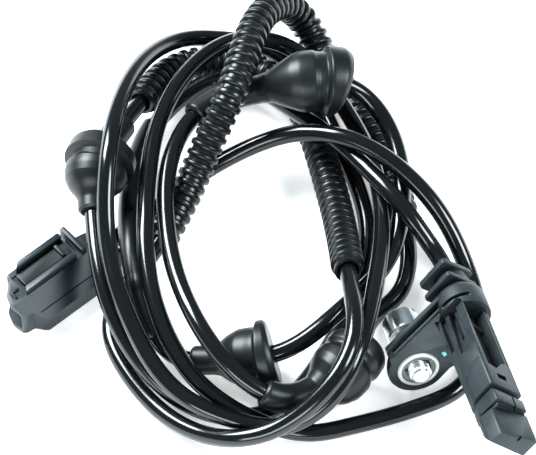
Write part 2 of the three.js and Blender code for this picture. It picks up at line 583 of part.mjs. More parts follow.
const lever = roundedRect(16.4, 4.2, 0.5, 14.4, 4.4, 2);
plug.add(piece('connector_latch', toGeometry(
  toSolid(extrude(lever, 1.3).translate(0, 0, POCKET_FLOOR + GAP))
    .add(toSolid(extrude(roundedRect(3.2, 4.2, 0.4, 8, 4.4, 1), 2.2).translate(0, 0, POCKET_FLOOR + GAP))),
), 0x33434b, 0.6));

['terminal_1', 'terminal_2'].forEach((name, i) => {
  const y = (i - 0.5) * PIN_SPACING;
  const blade = alongX(roundedRect(2.2, 0.8, 0.15, y, PIN_Z, 1), 8.2, SOCKET_DEPTH + 5.6);
  plug.add(piece(name, blade, 0xc8c2a8, 0.3, 0.9));
});
['core_1', 'core_2'].forEach((name, i) => {
  const y = (i - 0.5) * PIN_SPACING;
  plug.add(piece(name, rodX(0.8, SOCKET_DEPTH + 5.9, PLUG_LENGTH - 0.1, 8).translate(0, y, 0), i ? 0x6b4a2e : 0x2b4a86, 0.5));
});
let seal = toSolid(rodX(SEAL_R - GAP, PLUG_LENGTH - 6, PLUG_LENGTH - 0.2, 16));
for (const side of [-1, 1]) {
  seal = seal.subtract(toSolid(rodX(0.8 + GAP + 0.05, PLUG_LENGTH - 7, PLUG_LENGTH + 1, 8).translate(0, side * PIN_SPACING / 2, 0)));
}
plug.add(piece('wire_seal', toGeometry(seal), 0x8a4a3a, 0.7));

const cap = toSolid(alongX(roundedRect(11.4, 10, 1.6, -0.4, 5.6, 2), PLUG_LENGTH + GAP, PLUG_LENGTH + 3))
  .subtract(toSolid(rodX(BORE_R + 0.25, PLUG_LENGTH - 1, PLUG_LENGTH + 4, 12)));
plug.add(piece('connector_rear_cap', toGeometry(cap), 0x4c5c64, 0.6));

// ---- the whole, with the origin on the floor under the head ----
const group = new THREE.Group();
for (const mesh of parts) if (!mesh.parent) group.add(mesh);
group.add(head, plug);
group.position.set(...LAYOUT_SHIFT);

export default group;
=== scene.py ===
import math

import bmesh
import bpy
from mathutils import Matrix, Vector


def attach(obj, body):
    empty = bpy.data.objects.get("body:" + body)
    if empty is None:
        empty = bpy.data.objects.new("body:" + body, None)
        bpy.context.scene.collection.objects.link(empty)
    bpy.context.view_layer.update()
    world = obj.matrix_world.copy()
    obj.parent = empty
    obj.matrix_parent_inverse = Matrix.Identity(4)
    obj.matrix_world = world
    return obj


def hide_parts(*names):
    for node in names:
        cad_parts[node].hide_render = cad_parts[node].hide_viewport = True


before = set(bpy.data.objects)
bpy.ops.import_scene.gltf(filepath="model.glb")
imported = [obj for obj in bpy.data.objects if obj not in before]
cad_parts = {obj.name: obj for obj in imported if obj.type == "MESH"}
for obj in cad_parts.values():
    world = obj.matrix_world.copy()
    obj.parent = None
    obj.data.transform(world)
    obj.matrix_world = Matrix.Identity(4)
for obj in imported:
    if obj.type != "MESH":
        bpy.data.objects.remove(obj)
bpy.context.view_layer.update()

# ---- camera ----
# The photograph looks down on the object at 55 degrees, straight from the front, through a long lens. The camera
# aims at the middle of the coiled harness.
AIM = Vector((-0.05061, 0.045985, 0.0139))
ELEVATION = math.radians(55)
DISTANCE = 0.9
camera = bpy.data.objects.new("camera", bpy.data.cameras.new("camera"))
bpy.context.scene.collection.objects.link(camera)
camera.location = AIM + DISTANCE * Vector((0, -math.cos(ELEVATION), math.sin(ELEVATION)))
camera.rotation_euler = (math.radians(90) - ELEVATION, 0, 0)
camera.data.lens = 223.9
camera.data.sensor_width = 36
camera.data.clip_start = 0.05
camera.data.clip_end = 20
bpy.context.scene.camera = camera

# ---- cable ----
# One round cable in an extruded black polyurethane jacket. It runs from the connector's rear cap through all its
# loops to the neck of the sensor head. The route holds the same control points as the CAD cable's, in metres.
MM = 0.001
CABLE_R = 2.4
ROUTE = [
    # from the connector, up to the right
    (-0.09611, 0.04398, 0.0059), (-0.09311, 0.04748, 0.0059), (-0.08761, 0.05248, 0.0049),
    (-0.07911, 0.06348, 0.0009), (-0.06961, 0.06999, 0.0054),
    # right-hand loop, over the other strands
    (-0.05961, 0.07448, 0.0089), (-0.05061, 0.07598, 0.0134), (-0.04161, 0.07548, 0.0179),
    (-0.03161, 0.07148, 0.0219), (-0.02211, 0.06699, 0.0219), (-0.01361, 0.06048, 0.0199),
    (-0.00611, 0.05348, 0.0164), (-0.00061, 0.04648, 0.0109), (0.00339, 0.03898, 0.0049),
    (0.00619, 0.02949, 0.0024), (0.00639, 0.01799, 0.0024),
    # back along the floor at the front, under the head
    (0.00439, 0.00698, 0.0024), (-0.00161, -0.00002, 0.0024), (-0.00961, -0.00352, 0.0024),
    (-0.01911, -0.00702, 0.0024), (-0.02861, -0.01002, 0.0029), (-0.03811, -0.01302, 0.0034),
    (-0.04611, -0.01252, 0.0044),
    # second strand up the left side
    (-0.05411, -0.01052, 0.0064), (-0.06161, -0.00752, 0.0089), (-0.06911, -0.00252, 0.0119),
    (-0.07511, 0.00548, 0.0144), (-0.08011, 0.01598, 0.0179), (-0.08311, 0.02899, 0.0204),
    (-0.08361, 0.04398, 0.0229), (-0.08311, 0.05948, 0.0209), (-0.08161, 0.07348, 0.0209),
    (-0.07711, 0.08948, 0.0184), (-0.06961, 0.10298, 0.0159), (-0.06011, 0.11149, 0.0134),
    (-0.05011, 0.11299, 0.0114),
    # far side
    (-0.04161, 0.10898, 0.0104), (-0.03361, 0.09699, 0.0109),
    # down the right side
    (-0.02561, 0.08149, 0.0109), (-0.02061, 0.06599, 0.0119), (-0.01911, 0.04849, 0.0139),
    (-0.02111, 0.02949, 0.0179), (-0.02411, 0.01198, 0.0224),
    # front
    (-0.02711, 0.00048, 0.0229), (-0.03111, -0.00802, 0.0194), (-0.03861, -0.01352, 0.0134),
    (-0.04811, -0.01602, 0.0104),
    # first strand up the left side
    (-0.05711, -0.01352, 0.0099), (-0.06611, -0.01152, 0.0124), (-0.07411, -0.00652, 0.0129),
    (-0.08111, 0.00148, 0.0144), (-0.08661, 0.01248, 0.0169), (-0.09111, 0.02298, 0.0204),
    (-0.09361, 0.03549, 0.0229), (-0.09411, 0.04598, 0.0289), (-0.09311, 0.05849, 0.0349),
    (-0.09111, 0.07748, 0.0304), (-0.08561, 0.09999, 0.0199), (-0.07561, 0.11549, 0.0089),
    # far side
    (-0.06461, 0.11798, 0.0049), (-0.05361, 0.11749, 0.0039), (-0.04311, 0.11048, 0.0034),
    # down the middle
    (-0.03561, 0.09649, 0.0019), (-0.03011, 0.07999, 0.0029), (-0.02461, 0.06499, 0.0024),
    (-0.02261, 0.04999, 0.0024),
    # inner loop on the floor
    (-0.02611, 0.03549, 0.0024), (-0.03111, 0.02149, 0.0024), (-0.03711, 0.00948, 0.0024),
    (-0.04411, -0.00152, 0.0024),
    # outer left strand
    (-0.05311, -0.00752, 0.0024), (-0.06511, -0.00702, 0.0024), (-0.07611, -0.00202, 0.0039),
    (-0.08611, 0.00748, 0.0089), (-0.09311, 0.01948, 0.0149), (-0.09611, 0.03198, 0.0179),
    (-0.09761, 0.04548, 0.0184),
    # through grommet 4
    (-0.09811, 0.05498, 0.0199), (-0.09661, 0.06248, 0.0204), (-0.09411, 0.07148, 0.0184),
    (-0.08961, 0.08199, 0.0149),
    # looped conduit
    (-0.08461, 0.09148, 0.0124), (-0.08011, 0.10298, 0.0079), (-0.07161, 0.10898, 0.0059),
    (-0.06111, 0.10998, 0.0049), (-0.05061, 0.10548, 0.0054), (-0.04261, 0.09599, 0.0059),
    (-0.03811, 0.08499, 0.0064), (-0.03511, 0.07198, 0.0069), (-0.03211, 0.05749, 0.0084),
    (-0.03011, 0.03998, 0.0144), (-0.02911, 0.02248, 0.0229),
    # front-most strand
    (-0.02761, 0.00898, 0.0279), (-0.02861, -0.00152, 0.0279), (-0.03311, -0.01002, 0.0254),
    (-0.04011, -0.01552, 0.0204), (-0.04861, -0.01902, 0.0149), (-0.05861, -0.02002, 0.0119),
    (-0.06861, -0.01452, 0.0054), (-0.07911, -0.00602, 0.0024), (-0.08761, 0.00548, 0.0024),
    # under the left strands
    (-0.09361, 0.01749, 0.0024), (-0.09261, 0.02798, 0.0029), (-0.08711, 0.03598, 0.0044),
    # hairpin conduit
    (-0.08111, 0.04249, 0.0079), (-0.07561, 0.05248, 0.0109), (-0.07011, 0.06449, 0.0139),
    (-0.06611, 0.07198, 0.0209), (-0.06111, 0.07898, 0.0279), (-0.05811, 0.08898, 0.0294),
    (-0.05561, 0.09949, 0.0299), (-0.05161, 0.11149, 0.0264), (-0.04561, 0.12048, 0.0184),
    (-0.03961, 0.12048, 0.0089), (-0.03511, 0.11099, 0.0049), (-0.02761, 0.09549, 0.0049),
    (-0.01961, 0.07949, 0.0049), (-0.01461, 0.06248, 0.0044),
    # down to grommet 3, behind the screw
    (-0.01211, 0.04648, 0.0054), (-0.01261, 0.03798, 0.0034), (-0.01511, 0.03148, 0.0024),
    (-0.02001, 0.02698, 0.0027), (-0.02391, 0.02099, 0.0049), (-0.02481, 0.01448, 0.0089),
    # through grommet 3
    (-0.02711, 0.00798, 0.0104), (-0.03161, 0.00148, 0.0104), (-0.03861, -0.00452, 0.0104),
    (-0.04661, -0.00851, 0.0124),
    # third strand up the left side
    (-0.05461, -0.00702, 0.0164), (-0.06311, -0.00002, 0.0204), (-0.07011, 0.01098, 0.0224),
    (-0.07561, 0.02698, 0.0204), (-0.07811, 0.04299, 0.0194), (-0.07861, 0.05799, 0.0194),
    (-0.07611, 0.07049, 0.0194),
    # through grommet 1
    (-0.07111, 0.08099, 0.0184), (-0.06261, 0.08698, 0.0184), (-0.05361, 0.08748, 0.0209),
    (-0.04361, 0.08599, 0.0259), (-0.03411, 0.08748, 0.0259),
    # right-hand side
    (-0.02511, 0.08748, 0.0214), (-0.01761, 0.08049, 0.0164),
    # down the right side
    (-0.01361, 0.06649, 0.0144), (-0.01411, 0.05099, 0.0123), (-0.01711, 0.03848, 0.0104),
    # inner loop, over grommet 3
    (-0.02361, 0.02899, 0.0114), (-0.03161, 0.01749, 0.0164), (-0.04061, 0.00948, 0.0139),
    # through grommet 2
    (-0.04911, 0.00598, 0.0119), (-0.05711, 0.00648, 0.0104), (-0.06461, 0.00748, 0.0079),
    (-0.07061, 0.00798, 0.0064),
    # rubber sleeve
    (-0.07611, 0.00948, 0.0059), (-0.08161, 0.01548, 0.0081), (-0.08511, 0.02648, 0.0124),
    (-0.08761, 0.04049, 0.0134), (-0.08861, 0.05699, 0.0099), (-0.08711, 0.07348, 0.0054),
    (-0.08411, 0.08499, 0.0044),
    # last strand, over to the head
    (-0.07911, 0.09248, 0.0044), (-0.07261, 0.09899, 0.0054), (-0.06611, 0.10248, 0.0064),
    (-0.05911, 0.10149, 0.0074), (-0.05161, 0.09549, 0.0099), (-0.04311, 0.08599, 0.0129),
    (-0.03511, 0.07798, 0.0149), (-0.02811, 0.06999, 0.0159), (-0.02111, 0.05899, 0.0184),
    (-0.01461, 0.05049, 0.0187), (-0.00961, 0.04448, 0.0147), (-0.00711, 0.04199, 0.012),
    (-0.00511, 0.03938, 0.0108), (-0.00351, 0.03628, 0.0102),
    # into the neck of the head
    (-0.00215, 0.033, 0.01031), (-0.001, 0.02827, 0.01141),
]


def surface(name, dark, light, roughness, metal=0.0, grain=0.0005, relief=0.02, patch=0.012, recess=0.0, shine=0.5):
    """A moulded or metal surface: two tones in soft patches, a fine grain that lifts it and an uneven gloss. Recess
    is how far, in metres, the painted shade in its corners reaches, and shine its specular level."""
    made = bpy.data.materials.new(name)
    made.use_nodes = True
    nodes, links = made.node_tree.nodes, made.node_tree.links
    shader = nodes["Principled BSDF"]
    shader.inputs["Metallic"].default_value = metal
    shader.inputs["Specular IOR Level"].default_value = shine
    place = nodes.new("ShaderNodeTexCoord")
    patches = nodes.new("ShaderNodeTexNoise")
    patches.inputs["Scale"].default_value = 1 / patch
    patches.inputs["Detail"].default_value = 4
    fine = nodes.new("ShaderNodeTexNoise")
    fine.inputs["Scale"].default_value = 1 / grain
    fine.inputs["Detail"].default_value = 3
    tones = nodes.new("ShaderNodeMix")
    tones.data_type = "RGBA"
    tones.inputs["A"].default_value = (*dark, 1)
    tones.inputs["B"].default_value = (*light, 1)
    both = nodes.new("ShaderNodeMath")
    both.operation = "MULTIPLY_ADD"
    both.inputs[1].default_value = 0.5
    gloss = nodes.new("ShaderNodeMapRange")
    gloss.inputs["To Min"].default_value = roughness * 0.85
    gloss.inputs["To Max"].default_value = roughness * 1.15
    bump = nodes.new("ShaderNodeBump")
    bump.inputs["Strength"].default_value = 0.6
    bump.inputs["Distance"].default_value = relief * MM
    links.new(place.outputs["Object"], patches.inputs["Vector"])
    links.new(place.outputs["Object"], fine.inputs["Vector"])
    links.new(fine.outputs["Fac"], both.inputs[0])
    links.new(patches.outputs["Fac"], both.inputs[2])
    half = nodes.new("ShaderNodeMath")
    half.operation = "SUBTRACT"
    half.inputs[1].default_value = 0.25
    half.use_clamp = True
    links.new(both.outputs[0], half.inputs[0])
    links.new(half.outputs[0], tones.inputs["Factor"])
    links.new(tones.outputs["Result"], shader.inputs["Base Color"])
    # Painted shade: ambient occlusion darkens the colour in corners and recesses, down to 0.15 of the dark tone.
    if recess:
        corners = nodes.new("ShaderNodeAmbientOcclusion")
        corners.samples = 6
        corners.inputs["Distance"].default_value = recess
        depth = nodes.new("ShaderNodeMath")
        depth.operation = "POWER"
        depth.inputs[1].default_value = 1.6
        painted_corner_shade = nodes.new("ShaderNodeMix")
        painted_corner_shade.data_type = "RGBA"
        painted_corner_shade.inputs["A"].default_value = tuple(0.15 * tone for tone in dark) + (1,)
        links.new(corners.outputs["AO"], depth.inputs[0])
        links.new(depth.outputs[0], painted_corner_shade.inputs["Factor"])
        links.new(tones.outputs["Result"], painted_corner_shade.inputs["B"])
        links.new(painted_corner_shade.outputs["Result"], shader.inputs["Base Color"])
    links.new(patches.outputs["Fac"], gloss.inputs["Value"])
    links.new(gloss.outputs["Result"], shader.inputs["Roughness"])
    links.new(fine.outputs["Fac"], bump.inputs["Height"])
    links.new(bump.outputs["Normal"], shader.inputs["Normal"])
    return made


cable_curve = bpy.data.curves.new("cable_line", "CURVE")
cable_curve.dimensions = "3D"
cable_curve.resolution_u = 10
cable_curve.bevel_depth = CABLE_R * MM
cable_curve.bevel_resolution = 5
cable_curve.use_fill_caps = True
strand = cable_curve.splines.new("NURBS")
strand.points.add(len(ROUTE) - 1)
for point, at in zip(strand.points, ROUTE):
    point.co = (*at, 1)
strand.order_u = 4
strand.use_endpoint_u = True
strand.use_smooth = True
cable = bpy.data.objects.new("cable_jacket", cable_curve)
bpy.context.scene.collection.objects.link(cable)
cable.data.materials.append(surface(
    "cable_jacket", (0.0012, 0.0019, 0.0025), (0.0028, 0.0040, 0.0050), 0.15,
    grain=0.0003, relief=0.004, patch=0.02,
))
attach(cable, "root")
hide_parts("cable")

# ---- corrugated conduits ----
# Two lengths of ribbed polyamide tube, slipped over the cable to guard it: one in the small loop at the top left,
# one in the hairpin. Each is turned straight, with its ribs and its bore, and then bent onto the cable's line.
CONDUIT_BORE = 2.95
VALLEY, FLANK, SHOULDER, CREST = 3.65, 3.95, 4.36, 4.5
RIB_PITCH = 3.0
bare = cable_curve.copy()
bare.bevel_depth = 0
line = bpy.data.meshes.new_from_object(bpy.data.objects.new("line", bare))
centres = [vertex.co.copy() for vertex in line.vertices]
runs = [0.0]
for before, after in zip(centres, centres[1:]):
    runs.append(runs[-1] + (after - before).length / MM)
tangents = [
    (centres[min(i + 1, len(centres) - 1)] - centres[max(i - 1, 0)]).normalized() for i in range(len(centres))
]
normals = [tangents[0].orthogonal().normalized()]
for tangent in tangents[1:]:
    normals.append((normals[-1] - tangent * normals[-1].dot(tangent)).normalized())


def on_cable(s):
    """The cable's centre, its tangent and two directions across it, at s millimetres from the connector."""
    after = next((i for i, run in enumerate(runs) if run >= s), len(runs) - 1)
    after = max(after, 1)
    f = (s - runs[after - 1]) / max(runs[after] - runs[after - 1], 1e-9)
    along = tangents[after - 1].lerp(tangents[after], f).normalized()
    side = normals[after - 1].lerp(normals[after], f)
    side = (side - along * side.dot(along)).normalized()
    return centres[after - 1].lerp(centres[after], f), along, side, along.cross(side)


def turned(profile, sides, round_off=0.0):
    """A closed profile of (radius, height) pairs, its corners rounded, spun about the z axis."""
    made = bmesh.new()
    points = [made.verts.new((radius, 0, height)) for radius, height in profile]
    for pair in zip(points, points[1:] + points[:1]):
        made.edges.new(pair)
    if round_off:
        bmesh.ops.bevel(
            made, geom=points, offset=round_off, offset_type="OFFSET", segments=3, profile=0.5, affect="VERTICES",
            material=-1, clamp_overlap=True,
        )
    bmesh.ops.spin(
        made, geom=made.verts[:] + made.edges[:], cent=(0, 0, 0), axis=(0, 0, 1), dvec=(0, 0, 0),
        angle=2 * math.pi, steps=sides, use_merge=True, use_duplicate=False,
    )
    bmesh.ops.remove_doubles(made, verts=made.verts[:], dist=1e-5)
    bmesh.ops.delete(made, geom=[edge for edge in made.edges if not edge.link_faces], context="EDGES")
    bmesh.ops.recalc_face_normals(made, faces=made.faces[:])
    return made


def bent(made, step=1.5):
    """Cuts a straight body into short lengths and bends it from the z axis onto the cable's line."""
    low = min(vertex.co.z for vertex in made.verts)
    high = max(vertex.co.z for vertex in made.verts)
    for cut in range(1, int((high - low) / step) + 1):
        bmesh.ops.bisect_plane(
            made, geom=made.verts[:] + made.edges[:] + made.faces[:], plane_co=(0, 0, low + cut * step + 0.013),
            plane_no=(0, 0, 1), dist=1e-4,
        )
    places = {}
    for vertex in made.verts:
        s = round(vertex.co.z, 3)
        if s not in places:
            places[s] = on_cable(s)
        centre, _, side, across = places[s]
        vertex.co = centre + (side * vertex.co.x + across * vertex.co.y) * MM
    return made


def shown(name, made, material, node, sharp=32):
    """Links a body as a smooth piece with crisp edges, in place of its CAD node."""
    data = bpy.data.meshes.new(name)
    bmesh.ops.recalc_face_normals(made, faces=made.faces[:])
    made.to_mesh(data)
    made.free()
    data.polygons.foreach_set("use_smooth", [True] * len(data.polygons))
    data.set_sharp_from_angle(angle=math.radians(sharp))
    data.materials.append(material)
    held = bpy.data.objects.new(name, data)
    bpy.context.scene.collection.objects.link(held)
    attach(held, "root")
    if node:
        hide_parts(node)
    return held


def ribbed(start, end):
    """The conduit's profile: a plain cuff at each end, and a rounded rib at every pitch."""
    profile = [(CONDUIT_BORE, start), (VALLEY, start), (VALLEY, start + 1)]
    for rib in range(int((end - start - 2) / RIB_PITCH)):
        s = start + 1 + rib * RIB_PITCH
        profile += [(radius, s + along * RIB_PITCH) for radius, along in [
            (VALLEY, 0.08), (FLANK, 0.14), (SHOULDER, 0.2), (CREST, 0.3),
            (CREST, 0.56), (SHOULDER, 0.66), (FLANK, 0.72), (VALLEY, 0.79),
        ]]
    return profile + [(VALLEY, end), (CONDUIT_BORE, end)]


conduit_black = surface(
    "conduit_black", (0.0015, 0.0024, 0.0030), (0.0045, 0.0062, 0.0075), 0.30,
    grain=0.0006, relief=0.012, patch=0.01, shine=0.4,
)
conduit_loop = shown(
    "conduit_loop_ribbed", bent(turned(ribbed(994.4, 1126.4), 40), RIB_PITCH), conduit_black,
    "conduit_loop", 50,
)
conduit_hairpin = shown(
    "conduit_hairpin_ribbed", bent(turned(ribbed(1283.4, 1455.4), 40), RIB_PITCH), conduit_black,
    "conduit_hairpin", 50,
)

# ---- moulded grommets ----
# Four black rubber grommets, moulded onto the cable. Each has a thin neck that swells to a bell, a groove that
# snaps into its bracket, and a round flange. They follow the cable's line, so their necks bend with it.
RUBBER_BORE = 2.5
rubber = surface(
    "grommet_rubber", (0.0015, 0.0026, 0.0034), (0.0045, 0.0066, 0.0080), 0.38,
    grain=0.0004, relief=0.02, patch=0.008, shine=0.35,
)


def grommet(name, node, outer):
    """An outer profile of (radius, distance along the cable) pairs, with a bore for the cable."""
    profile = [(RUBBER_BORE, outer[0][1]), *outer, (RUBBER_BORE, outer[-1][1])]
    return shown(name, bent(turned(profile, 56, 0.35)), rubber, node)


grommet_1 = grommet("grommet_1_moulded", "grommet_1", [
    (3.2, 1636.9), (3.9, 1637.6), (3.95, 1648), (4.0, 1658), (4.5, 1661.2), (6.3, 1664.9), (7.9, 1668.2),
    (8.5, 1670.2), (8.5, 1673.4), (8.0, 1674.1), (8.0, 1675.9), (9.8, 1676.5), (9.8, 1679.9), (8.8, 1681.4),
])
grommet_2 = grommet("grommet_2_moulded", "grommet_2", [
    (8.8, 1787.3), (9.6, 1788.5), (9.6, 1790.9), (8.0, 1791.5), (8.0, 1793.1), (8.0, 1793.9), (7.7, 1796.3),
    (6.4, 1799), (4.5, 1801.8), (4.0, 1804), (3.9, 1809), (3.3, 1809.9),
])
grommet_3 = grommet("grommet_3_moulded", "grommet_3", [
    (7.5, 1505), (8.4, 1506.2), (8.4, 1509), (8.0, 1509.6), (7.7, 1510.2), (7.7, 1510.9), (8.0, 1511.5),
    (8.5, 1512.2), (8.5, 1515.4), (7.6, 1518), (5.6, 1520.8), (4.2, 1523.6), (4.0, 1527), (3.9, 1537.6),
    (3.2, 1538.4),
])


def facing(s, toward):
    """The angle round the cable, from its first side direction, that faces the given way."""
    _, _, side, across = on_cable(s)
    return math.atan2(Vector(toward).dot(across), Vector(toward).dot(side))


def prism(points, start, end, corner=0.0, soft=0.0, place=None):
    """An outline raised along z, its uprights rounded by corner and its rims by soft, then placed."""
    made = bmesh.new()
    base = made.faces.new([made.verts.new((a, b, start)) for a, b in points])
    raised = bmesh.ops.extrude_face_region(made, geom=[base])["geom"]
    bmesh.ops.translate(
        made, verts=[v for v in raised if isinstance(v, bmesh.types.BMVert)], vec=(0, 0, end - start),
    )
    bmesh.ops.recalc_face_normals(made, faces=made.faces[:])
    if corner:
        uprights = [e for e in made.edges if abs(e.verts[0].co.z - e.verts[1].co.z) > 1e-6]
        bmesh.ops.bevel(
            made, geom=uprights, offset=corner, offset_type="OFFSET", segments=4, profile=0.5,
            affect="EDGES", material=-1, clamp_overlap=True,
        )
    if soft:
        rims = [e for e in made.edges if e.calc_face_angle(0) > math.radians(40)]
        bmesh.ops.bevel(
            made, geom=rims, offset=soft, offset_type="OFFSET", segments=2, profile=0.5, affect="EDGES",
            material=-1, clamp_overlap=True,
        )
    return made if place is None else placed(made, place)


def rectangle(width, height, x=0.0, y=0.0):
    """The four corners of a rectangle round a middle point."""
    return [
        (x - width / 2, y - height / 2), (x + width / 2, y - height / 2),
        (x + width / 2, y + height / 2), (x - width / 2, y + height / 2),
    ]


def placed(made, place):
    """Moves a body by a matrix."""
    bmesh.ops.transform(made, matrix=place, verts=made.verts[:])
    bmesh.ops.recalc_face_normals(made, faces=made.faces[:])
    return made


def combined(base, steps):
    """Adds bodies to a body or cuts them from it, in the order given."""
    whole = bpy.data.objects.new("whole", bpy.data.meshes.new("whole"))
    bpy.context.scene.collection.objects.link(whole)
    base.to_mesh(whole.data)
    base.free()
    tools = []
    for kind, made in steps:
        tool = bpy.data.objects.new("tool", bpy.data.meshes.new("tool"))
        bpy.context.scene.collection.objects.link(tool)
        made.to_mesh(tool.data)
        made.free()
        use = whole.modifiers.new("use", "BOOLEAN")
        use.operation = {"add": "UNION", "cut": "DIFFERENCE"}[kind]
        use.solver = "MANIFOLD"
        use.object = tool
        tools.append(tool)
    result = bpy.data.meshes.new_from_object(whole.evaluated_get(bpy.context.evaluated_depsgraph_get()))
    body = bmesh.new()
    body.from_mesh(result)
    for spent in [whole, *tools]:
        bpy.data.objects.remove(spent)
    return body


# The fourth grommet carries a square block above its flange, with a locating hole that faces the front.
FRONT = (0, -0.57, 0.82)
BLOCK_AT = 976.9
turn = Matrix.Rotation(facing(BLOCK_AT, FRONT), 4, "Z")
ACROSS = Matrix(((0, 0, 1, 0), (1, 0, 0, 0), (0, 1, 0, 0), (0, 0, 0, 1)))
hole = turn @ Matrix.Translation((0, 0, BLOCK_AT)) @ ACROSS
grommet_4 = shown("grommet_4_moulded", bent(combined(
    turned([
        (0, 949.9), (3.3, 949.9), (4.0, 950.6), (4.1, 953.6), (5.0, 955.2), (6.6, 956.8), (8.0, 958.9), (8.5, 960.8),
        (8.5, 962.4), (8.0, 963), (8.0, 964.6), (9.8, 965.2), (9.6, 968.4), (8.6, 969.6), (4.4, 970.6), (4.0, 972),
        (4.0, 982.8), (3.4, 983.4), (0, 983.4),
    ], 56),
    [
        ("add", prism(rectangle(10, 10), BLOCK_AT - 4, BLOCK_AT + 4, 1.4, 0.4, turn)),
        ("cut", turned([(0, 949), (RUBBER_BORE, 949), (RUBBER_BORE, 984.4), (0, 984.4)], 40)),
        ("cut", placed(turned([(0, 3.4), (1.4, 3.4), (1.4, 8), (0, 8)], 24), hole)),
        ("cut", placed(turned([(0, 4.75), (1.7, 4.75), (1.9, 8), (0, 8)], 24), hole)),
    ],
)), rubber, "grommet_4")

# ---- rubber sleeve ----
# A long smooth sleeve of black rubber, pushed over the last strand up the left side. It has a low bead, two small
# moulded nubs and a round sight hole.
SIGHT_HOLE_AT = 1860.4
sleeve_rubber = surface(
    "sleeve_rubber", (0.002, 0.0033, 0.0042), (0.0055, 0.0078, 0.0092), 0.32,
    grain=0.0004, relief=0.015, patch=0.01, shine=0.4,
)
sleeve_steps = [
    ("cut", placed(
        turned([(0, 2.6), (1.2, 2.6), (1.2, 6), (0, 6)], 24),
        Matrix.Rotation(facing(SIGHT_HOLE_AT, FRONT), 4, "Z") @ Matrix.Translation((0, 0, SIGHT_HOLE_AT)) @ ACROSS,
    )),
]
for nub_at, toward in [(1885.4, (0.5, -0.4, 0.8)), (1871.4, (-0.8, -0.4, 0.4))]:
    sleeve_steps.append(("add", placed(
        turned([(0, 2.8), (1.5, 2.8), (1.3, 3.9), (1.0, 4.2), (0, 4.2)], 24),
        Matrix.Rotation(facing(nub_at, toward), 4, "Z") @ Matrix.Translation((0, 0, nub_at)) @ ACROSS,
    )))
rubber_sleeve = shown("rubber_sleeve_moulded", bent(combined(
    turned([
        (RUBBER_BORE, 1821.9), (3.1, 1821.9), (3.3, 1822.3), (3.3, 1835), (3.45, 1835.6), (3.45, 1838),
        (3.3, 1838.6), (3.3, 1897.5), (3.1, 1897.9), (RUBBER_BORE, 1897.9),
    ], 48),
    sleeve_steps,
)), sleeve_rubber, "rubber_sleeve")

# ---- sensor housing ----
# One moulding of glass-filled nylon, with two fins on its neck. It is drawn in its own axes: x out to the lug's
# hole, y along the body to the tip, z up. The body is a bar turned 25 degrees about y: its right-hand face carries
# the window, and its top face the ribbed recess.
LUG_AT = 16.8
LUG_R = 8.2
BAR_TURN = math.radians(25)
FIN_SIDE = 10.6
tip_axis = Vector((0.23, -0.948, 0.221)).normalized()
lug_axis = Vector((-0.875, -0.298, -0.375))
lug_axis = (lug_axis - tip_axis * lug_axis.dot(tip_axis)).normalized()
HEAD_AT = Vector((3.83, 8.365, 16.05)) * MM
HEAD = Matrix.Translation(HEAD_AT) @ Matrix(
    (lug_axis, tip_axis, lug_axis.cross(tip_axis)),
).transposed().to_4x4() @ Matrix.Scale(MM, 4)
SIN, COS = math.sin(BAR_TURN), math.cos(BAR_TURN)
SECTION = Matrix(((1, 0, 0, 0), (0, 0, 1, 0), (0, 1, 0, 0), (0, 0, 0, 1)))
BAR = Matrix(((SIN, -COS, 0, 0), (0, 0, 1, 0), (COS, SIN, 0, 0), (0, 0, 0, 1)))
RIGHT = Matrix(((SIN, 0, -COS, 0), (0, 1, 0, 0), (COS, 0, SIN, 0), (0, 0, 0, 1)))
TOP = Matrix(((COS, 0, SIN, 0), (0, 1, 0, 0), (-SIN, 0, COS, 0), (0, 0, 0, 1)))
ALONG_TOP = Matrix(((0, SIN, -COS, 0), (1, 0, 0, 0), (0, COS, SIN, 0), (0, 0, 0, 1)))
ALONG_RIGHT = Matrix(((0, -COS, SIN, 0), (1, 0, 0, 0), (0, SIN, COS, 0), (0, 0, 0, 1)))
LUG = Matrix.Translation((LUG_AT, 0, 0)) @ SECTION
LUG_TOP = Matrix(((1, 0, 0, 0), (0, 1, 0, 0), (0.333, -0.153, 1, 0.8), (0, 0, 0, 1)))
LUG_BACK = Matrix(((1, 0, 0, 0), (0.676, 1, 0, -18.19), (0, 0, 1, 0), (0, 0, 0, 1)))
LUG_EDGE = Matrix(((1, 0, 0, 0), (0.676, 1, 0, -18.19), (0.2296, -0.153, 1, 3.583), (0, 0, 0, 1)))
# The nylon's colour is darkened in its corners and recesses, as painted shade.
nylon = surface(
    "glass_filled_nylon", (0.0010, 0.0026, 0.0036), (0.0230, 0.0370, 0.0430), 0.5,
    grain=0.0005, relief=0.09, patch=0.004, recess=0.004, shine=0.4,
)
lug = combined(placed(turned([
    (0, -14.5), (LUG_R, -14.5), (LUG_R, -0.8), (7.95, -0.25), (7.3, 0), (0, 0),
], 72), LUG), [
    ("add", prism([
        (2.5, -6.2), (9.4, -5.3), (13.6, -7.3), (23, -3), (22, 8), (12, 10), (2.5, 10),
    ], -15.3, -0.2, 0.6, 0.2, SECTION)),
    ("cut", prism(rectangle(60, 60), 0, 20, 0, 0, LUG_TOP)),
    ("cut", prism(rectangle(60, 40, 0, -20), -20, 20, 0, 0, LUG_BACK)),
    ("add", prism(rectangle(19.2, 1.4, 12.1, 0.75), -1.5, 1.0, 0.3, 0.25, LUG_EDGE)),
    ("add", prism(rectangle(17.8, 0.9, 11.6, 3.1), -1.5, 0.35, 0.2, 0.15, LUG_EDGE)),
    ("cut", prism(rectangle(15.6, 1.1, 12.6, 2.05), -1.7, 1.4, 0.2, 0, LUG_EDGE)),
])
fin_turn = Matrix.Translation((1.0, 0, 0.8)) @ Matrix.Rotation(math.radians(27), 4, "Y") @ SECTION
